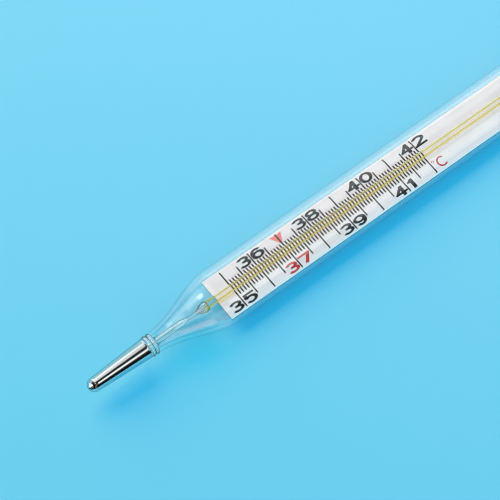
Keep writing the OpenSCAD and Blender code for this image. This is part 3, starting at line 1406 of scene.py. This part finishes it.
    def build_thread(self) -> None:
        """Turns the mercury thread, which stretches as the crown climbs."""
        p = self.places
        rings = [(lerp(p.thread_start, p.crown_start, s), p.mercury_r) for s in shares(self.thread_rings)]
        outline = [(p.thread_start, 0), *rings, (p.crown_start, 0)]
        piece = turned("mercury_column", outline, p.axis_z, FINE_TURNING_STEPS)
        dress(piece, self.finishes.mercury)
        settle(piece)
        start = (p.thread_start * MM, 0, p.axis_z * MM)
        end = (p.crown_start * MM, 0, p.axis_z * MM)
        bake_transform(piece, Body.THERMOMETER.value, Body.MERCURY_TOP.value, start=start, end=end)
        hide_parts("mercury_thread")

    def build(self) -> None:
        """Builds the pieces of the capillary and its mercury."""
        self.build_stem()
        self.build_constriction()
        self.build_rod()
        self.build_stripes()
        self.build_crown()
        self.build_thread()


Stroke = list[Point]


def numeral_strokes() -> dict[str, list[Stroke]]:
    """Lists the pen strokes of the wide numerals and the Celsius sign.

    Returns:
        Strokes by the name of the glyph, in a box from -1 to 1 each way.
    """
    six = [
        arc((0, 0), (1, 1), 42, 270, 20),
        arc((0, -0.36), (1, 0.64), 90, 450, 24),
    ]
    return {
        "0": [arc((0, 0), (1, 1), 90, 450, 32)],
        "1": [[(1, 1), (1, -1)], [(1, 1), (-1, 0.5)]],
        "2": [
            [*arc((0, 0.42), (1, 0.58), 165, -25, 18), (-1, -1)],
            [(-1, -1), (1, -1)],
        ],
        "3": [
            [*arc((0, 0.5), (0.92, 0.5), 155, -90, 18), (-0.3, 0)],
            [(-0.3, 0), *arc((0, -0.5), (1, 0.5), 90, -155, 18)],
        ],
        "4": [[(0.4, 1), (-1, -0.45)], [(-1, -0.45), (1, -0.45)], [(0.4, 1), (0.4, -1)]],
        "5": [
            [(0.85, 1), (-0.75, 1)],
            [(-0.75, 1), (-0.85, 0.02)],
            arc((-0.02, -0.36), (1.02, 0.64), 146, -150, 22),
        ],
        "6": six,
        "7": [[(-1, 1), (1, 1)], [(1, 1), (-0.25, -1)]],
        "8": [arc((0, 0.5), (0.88, 0.5), 90, 450, 24), arc((0, -0.5), (1, 0.5), 90, 450, 24)],
        "9": [[(-x, -y) for x, y in stroke] for stroke in six],
        "C": [arc((0, 0), (1, 1), 48, 312, 26)],
        "degree": [arc((0, 0), (1, 1), 90, 450, 20)],
    }


@dataclass(frozen=True)
class Pen:
    """Broad pen of the numerals, in millimetres.

    Upright strokes are twice half_w wide, and level ones twice half_h high.
    """

    half_w: float
    half_h: float


@dataclass
class PrintedScale:
    """Scale plate with its printed lines, numerals and red marks."""

    places: Places
    finishes: Finishes
    plate_bevel: float = 0.06
    bevel_steps: int = 3
    edge_slope: float = 0.2
    lowest: int = 35
    highest: int = 42
    red_degree: int = 37
    line_w: float = 0.23
    digit_w: float = 2.42
    one_w: float = 1.35
    digit_h: float = 1.92
    digit_gap: float = 0.18
    digit_y: float = 2.8
    sign_w: float = 1.95
    sign_h: float = 2.0
    sign_x: float = 2.0
    sign_y: float = -2.52
    ring_d: float = 0.5
    ring_x: float = 0.62
    ring_y: float = -1.75
    pen: Pen = Pen(0.32, 0.17)
    thin_pen: Pen = Pen(0.16, 0.12)
    ring_pen: Pen = Pen(0.05, 0.05)
    pen_rounding: int = 3
    ink_smooth_angle: float = 60

    def build_plate(self) -> None:
        """Cuts the plate to size and rounds its edges."""
        piece = block(self.places.plate_low, self.places.plate_high)
        piece.name = "milk_scale_plate"
        edit_mode()
        bpy.ops.mesh.bevel(offset=self.plate_bevel, segments=self.bevel_steps, affect="EDGES")
        close_seams()
        # The plate's steep sides take a dark painted shade.
        dress(
            piece, self.finishes.plate, self.finishes.plate_edge,
            lambda face: abs(face.normal.z) < self.edge_slope,
        )
        settle(piece)
        carry(piece, "plate_white", "scale_plate")

    def line_place(self, degree: float) -> float:
        """Gives the place of a degree on the scale.

        Args:
            degree: Temperature in degrees Celsius.

        Returns:
            Place along the thermometer, in millimetres.
        """
        share = (degree - self.lowest) / (self.highest - self.lowest)
        inset = self.line_w / 2
        return lerp(self.places.first_line + inset, self.places.last_line - inset, share)

    def ink_glyph(self, glyph: str, low: Point, size: Point, pen: Pen) -> bpy.types.Object:
        """Draws one glyph as raised ink. Level and upright strokes end square at the pen's width.

        Args:
            glyph: Name of the glyph.
            low: Lower left corner of the glyph.
            size: Width and height of the glyph.
            pen: Pen that draws it.

        Returns:
            Mesh of the glyph, in millimetres.
        """
        half = Vector((size[0] / 2, size[1] / 2))
        wide, tall = half.x / pen.half_w - 1, half.y / pen.half_h - 1
        # Strokes are drawn with a round pen of radius 1, then squeezed to this pen's own width and height.
        curve = bpy.data.curves.new("glyph", "CURVE")
        curve.dimensions = "3D"
        curve.bevel_depth = 1.0
        curve.bevel_resolution = self.pen_rounding
        curve.use_fill_caps = True
        for stroke in numeral_strokes()[glyph]:
            closed = (Vector(stroke[0]) - Vector(stroke[-1])).length < MERGE_DISTANCE
            points = stroke[:-1] if closed else stroke
            placed = [Vector((x * wide, y * tall)) for x, y in points]
            step = placed[-1] - placed[0]
            is_square = len(placed) == 2 and MERGE_DISTANCE > min(abs(step.x), abs(step.y))
            if is_square:
                placed = [placed[0] - step.normalized(), placed[1] + step.normalized()]
            spline = curve.splines.new("POLY")
            spline.points.add(len(placed) - 1)
            spline.use_cyclic_u = closed
            for point, at in zip(spline.points, placed):
                point.co = (at.x, at.y, 0, 1)
        piece = bpy.data.objects.new("glyph", curve)
        bpy.context.collection.objects.link(piece)
        pick(piece)
        bpy.ops.object.convert(target="MESH")
        plate_z = self.places.plate_high.z
        ink_half = (self.places.print_top - plate_z) / 2
        piece.scale = (pen.half_w, pen.half_h, ink_half)
        piece.location = (low[0] + half.x, low[1] + half.y, plate_z + ink_half)
        bpy.ops.object.transform_apply(location=True, scale=True)
        return piece

    def finish_print(self, glyphs: list[bpy.types.Object], name: str, ink: Ink) -> None:
        """Joins glyphs into one printed piece.

        Args:
            glyphs: Meshes of the glyphs.
            name: Name of the piece.
            ink: Ink of the piece.
        """
        piece = join(glyphs)
        piece.name = name
        dress(piece, self.finishes.ink(ink))
        settle(piece, self.ink_smooth_angle)
        carry(piece, ink.value)

    def build_numeral(self, degree: int) -> None:
        """Prints a number with one digit on each side of its line, on the far side where it is even.

        Args:
            degree: Number to print.
        """
        place = self.line_place(degree)
        middle_y = self.digit_y if degree % 2 == 0 else -self.digit_y
        low_y = middle_y - self.digit_h / 2
        first, second = str(degree)
        second_w = self.one_w if second == "1" else self.digit_w
        size = (self.digit_w, self.digit_h)
        left = self.ink_glyph(first, (place - self.digit_gap - self.digit_w, low_y), size, self.pen)
        right = self.ink_glyph(second, (place + self.digit_gap, low_y), (second_w, self.digit_h), self.pen)
        ink = Ink.RED if degree == self.red_degree else Ink.BLACK
        self.finish_print([left, right], f"numeral_{degree}", ink)

    def build_sign(self) -> None:
        """Prints the sign for degrees Celsius beyond the top of the scale."""
        place = self.line_place(self.highest)
        low = (place + self.sign_x - self.sign_w / 2, self.sign_y - self.sign_h / 2)
        letter = self.ink_glyph("C", low, (self.sign_w, self.sign_h), self.thin_pen)
        low = (place + self.ring_x - self.ring_d / 2, self.ring_y - self.ring_d / 2)
        ring = self.ink_glyph("degree", low, (self.ring_d, self.ring_d), self.ring_pen)
        self.finish_print([letter, ring], "degree_sign", Ink.RED)

    def dress_packed(self, nodes: dict[str, bpy.types.Object]) -> None:
        """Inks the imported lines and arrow.

        Args:
            nodes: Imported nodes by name.
        """
        for name, finish in (("graduation_lines", self.finishes.black), ("fever_mark", self.finishes.arrow)):
            dress(nodes[name], finish)
            log.info("%s: packed piece, dressed", name)

    def build(self, nodes: dict[str, bpy.types.Object]) -> None:
        """Builds the plate and prints the scale.

        Args:
            nodes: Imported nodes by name.
        """
        self.build_plate()
        for degree in range(self.lowest, self.highest + 1):
            self.build_numeral(degree)
        self.build_sign()
        self.dress_packed(nodes)


@dataclass
class EndPlug:
    """Plaster plug that holds the upper ends of the plate and the capillary."""

    places: Places
    finishes: Finishes
    section: OvalSection
    inset: float = 0.76
    slot_gap: float = 0.06
    slot_over: float = 0.5
    bevel: float = 0.2
    bevel_steps: int = 3
    bevel_angle: float = 50
    round_steps: int = 96

    def build(self) -> None:
        """Moulds the plug to the sheath, rounds its ends and cuts its seats."""
        p = self.places
        low, high = node_box("top_plug")
        start_clean()
        bpy.ops.mesh.primitive_circle_add(vertices=self.round_steps, fill_type="NGON", rotation=ACROSS_AXIS)
        piece = bpy.context.object
        piece.name = "plaster_plug"
        bpy.ops.object.transform_apply(rotation=True)
        for vert in piece.data.vertices:
            y, z = self.section.point(math.atan2(vert.co.z, vert.co.y), self.inset)
            vert.co = (low.x, y, p.axis_z + z)
        edit_mode()
        bpy.ops.mesh.extrude_region_move(TRANSFORM_OT_translate={"value": (high.x - low.x, 0, 0)})
        close_seams()
        rounding = {"width": self.bevel, "segments": self.bevel_steps, "limit_method": "ANGLE"}
        apply_modifier(piece, "BEVEL", angle_limit=math.radians(self.bevel_angle), **rounding)
        start, end = low.x - self.slot_gap, p.plate_high.x + self.slot_gap
        half_w = p.plate_high.y + self.slot_over
        slot_low = Vector((start, -half_w, p.plate_low.z - self.slot_gap))
        slot_high = Vector((end, half_w, p.plate_high.z + self.slot_gap))
        cut(piece, block(slot_low, slot_high))
        hole_r = p.capillary_r + self.slot_gap
        outline = [(start, 0), (start, hole_r), (end, hole_r), (end, 0)]
        cut(piece, turned("seat", outline, p.axis_z, FINE_TURNING_STEPS))
        dress(piece, self.finishes.plaster)
        settle(piece)
        carry(piece, "plug_white", "top_plug")


@dataclass(frozen=True)
class Viewpoint:
    """Camera of the picture, in degrees and millimetres."""

    azimuth: float = -37.73
    elevation: float = 63.95
    distance: float = 352.95
    target: Spot = (-27.26, 3.67, 3.375)
    lens: float = 155.6
    sensor: float = 36.0
    nearest: float = 10.0

    def build(self) -> None:
        """Sets the camera up."""
        a, e = math.radians(self.azimuth), math.radians(self.elevation)
        back = Vector((math.sin(a) * math.cos(e), -math.cos(a) * math.cos(e), math.sin(e)))
        start_clean()
        bpy.ops.object.camera_add(location=(Vector(self.target) + back * self.distance) * MM)
        camera = bpy.context.object
        camera.rotation_euler = back.to_track_quat("Z", "Y").to_euler()
        camera.data.lens = self.lens
        camera.data.sensor_width = self.sensor
        camera.data.clip_start = self.nearest * MM
        bpy.context.scene.camera = camera


@dataclass(frozen=True)
class TentPatch:
    """Bright patch of the light tent, as ranges of angle round the thermometer and along it, in degrees."""

    label: str
    round_a: Span
    along_a: Span
    soft_round: float
    soft_along: float
    strength: float
    tint: Colour = (1.0, 1.0, 1.0)

    def weight(self, nodes: Nodes, round_a: Socket, along_a: Socket) -> Socket:
        """Gives how much of the patch shows in a direction.

        Args:
            nodes: Node tree of the tent.
            round_a: Angle round the thermometer.
            along_a: Angle along it.

        Returns:
            Value socket, from 0 to the strength of the patch.
        """
        weight = self.strength
        for angle, (low, high), soft in (
            (round_a, self.round_a, self.soft_round),
            (along_a, self.along_a, self.soft_along),
        ):
            rise = (math.radians(low - soft), math.radians(low))
            fall = (math.radians(high), math.radians(high + soft))
            weight = nodes.math("MULTIPLY", weight, nodes.band(angle, rise, fall))
        return weight


@dataclass(frozen=True)
class Studio:
    """Pale floor, soft key light and a light tent, pale on the far side and dark on the near one.

    The tent's panels are places from 0 on the far side to 1 on the near side, with their colours.
    """

    floor_size: float = 6.0
    key_place: Spot = (0.0, 0.94, 0.48)
    key_size: Point = (1.4, 1.0)
    key_power: float = 34.0
    key_tint: Colour = (1.0, 0.33, 0.10)
    ambient: Colour = (0.075, 0.715, 0.945)
    floor: FloorPaper = FloorPaper()
    panels: tuple[tuple[float, Colour], ...] = (
        (0.0, (0.25, 0.45, 0.52)),
        (1.0, (0.20, 0.35, 0.42)),
        (0.09, (0.34, 0.56, 0.64)),
        (0.25, (0.50, 0.66, 0.74)),
        (0.36, (0.03, 0.03, 0.034)),
        (0.97, (0.03, 0.03, 0.034)),
    )
    patches: tuple[TentPatch, ...] = (
        TentPatch("bulb, broad panel", (-46, -11), (-9, 5), 16, 4, 0.88),
        TentPatch("bulb, far side", (-92, -52), (1, 6), 6, 1.5, 0.15),
        TentPatch("bulb, near strip", (35, 48), (-9, 5), 10, 4, 1.12),
        TentPatch("sheath, front strip", (24, 36), (14, 45), 7, 6, 1.6),
        TentPatch("sheath, far wall", (-85, -66), (11, 45), 6, 4, 1.3),
        TentPatch("sheath, veil on the far digits", (-54, -34), (20, 45), 8, 8, 0.6),
        TentPatch("sheath, near wall", (42, 60), (22, 45), 8, 6, 1.3),
        TentPatch("neck, far wall", (-100, -40), (-7, -1), 15, 2.5, 1.0),
        TentPatch("neck, front lamp", (2, 20), (-11, -7), 6, 2, 1.6),
        TentPatch("neck, blush", (60, 90), (-9, 0), 10, 1.5, 1.3, (1.0, 0.65, 0.45)),
        TentPatch("neck, warm window", (57, 82), (-18, -13), 20, 4, 2.4, (1.0, 0.45, 0.30)),
        TentPatch("bulb, lamp on the tip", (-70, 70), (-84, -44), 15, 6, 1.5),
        TentPatch("neck, glint above the knot", (-38, -31), (-3, -1), 3, 1, 4.5),
    )
    pixel_filter: float = 1.0
    bounces: tuple[tuple[str, int], ...] = (
        ("max_bounces", 32),
        ("transmission_bounces", 32),
        ("glossy_bounces", 12),
        ("diffuse_bounces", 4),
        ("transparent_max_bounces", 64),
    )

    def build_floor(self) -> None:
        """Lays the floor under the thermometer."""
        start_clean()
        bpy.ops.mesh.primitive_plane_add(size=self.floor_size)
        floor = bpy.context.object
        floor.name = "studio_floor"
        dress(floor, self.floor)

    def build_key(self) -> None:
        """Hangs the soft key light, which the glass and the mercury don't mirror."""
        start_clean()
        bpy.ops.object.light_add(type="AREA", location=self.key_place)
        key = bpy.context.object
        key.name = "key_light"
        key.rotation_euler = Vector(self.key_place).to_track_quat("Z", "Y").to_euler()
        key.data.shape = "RECTANGLE"
        key.data.size, key.data.size_y = self.key_size
        key.data.energy = self.key_power
        key.data.color = self.key_tint
        key.visible_camera = False
        key.visible_glossy = False
        key.visible_transmission = False

    def build_tent(self) -> None:
        """Sets the tent as the world: plain soft light on dull surfaces, the lit tent in mirrors and glass.

        Angles are taken about the thermometer's axis from straight up, positive towards the near side, and
        along it from square across, positive towards the top end.
        """
        world = bpy.data.worlds.new("light_tent")
        bpy.context.scene.world = world
        world.use_nodes = True
        world.cycles.sampling_method = "NONE"
        nodes = Nodes(world.node_tree)
        x, y, z = nodes.node("SeparateXYZ", {0: nodes.node("TexCoord").outputs["Generated"]}).outputs
        round_a = nodes.math("ARCTAN2", nodes.math("MULTIPLY", y, -1.0), z)
        along_a = nodes.math("ARCSINE", x)
        side = nodes.even(round_a, -math.pi / 2, math.pi / 2)
        tent = nodes.add("Background", {"Color": nodes.ramp(side, self.panels)})
        for patch in self.patches:
            inputs = {"Color": patch.tint, "Strength": patch.weight(nodes, round_a, along_a)}
            light = nodes.add("Background", inputs, label=patch.label)
            tent = nodes.add("AddShader", {0: tent, 1: light})
        ambient = nodes.add("Background", {"Color": self.ambient})
        nodes.node("OutputWorld", {"Surface": nodes.mix(nodes.soft_light(), tent, ambient)})

    def build(self) -> None:
        """Builds the studio and sets how light is traced through the glass."""
        self.build_floor()
        self.build_key()
        self.build_tent()
        scene = bpy.context.scene
        scene.view_settings.view_transform = "Standard"
        scene.cycles.filter_width = self.pixel_filter
        for name, count in self.bounces:
            setattr(scene.cycles, name, count)


def main() -> None:
    """Builds the thermometer and its studio in order."""
    places = Places.read()
    finishes = Finishes(Quicksilver(axis_z=places.axis_z, pool_start=places.pool_start))
    sheath_low, sheath_high = node_box("glass_sheath")
    section = OvalSection(width=sheath_high.y - sheath_low.y, thickness=sheath_high.z - sheath_low.z)
    Viewpoint().build()
    Envelope(places, finishes, section).build()
    Bulb(places, finishes).build()
    Capillary(places, finishes).build()
    PrintedScale(places, finishes).build(frame["nodes"])
    EndPlug(places, finishes, section).build()
    Studio().build()


if __name__ == "__main__":
    main()
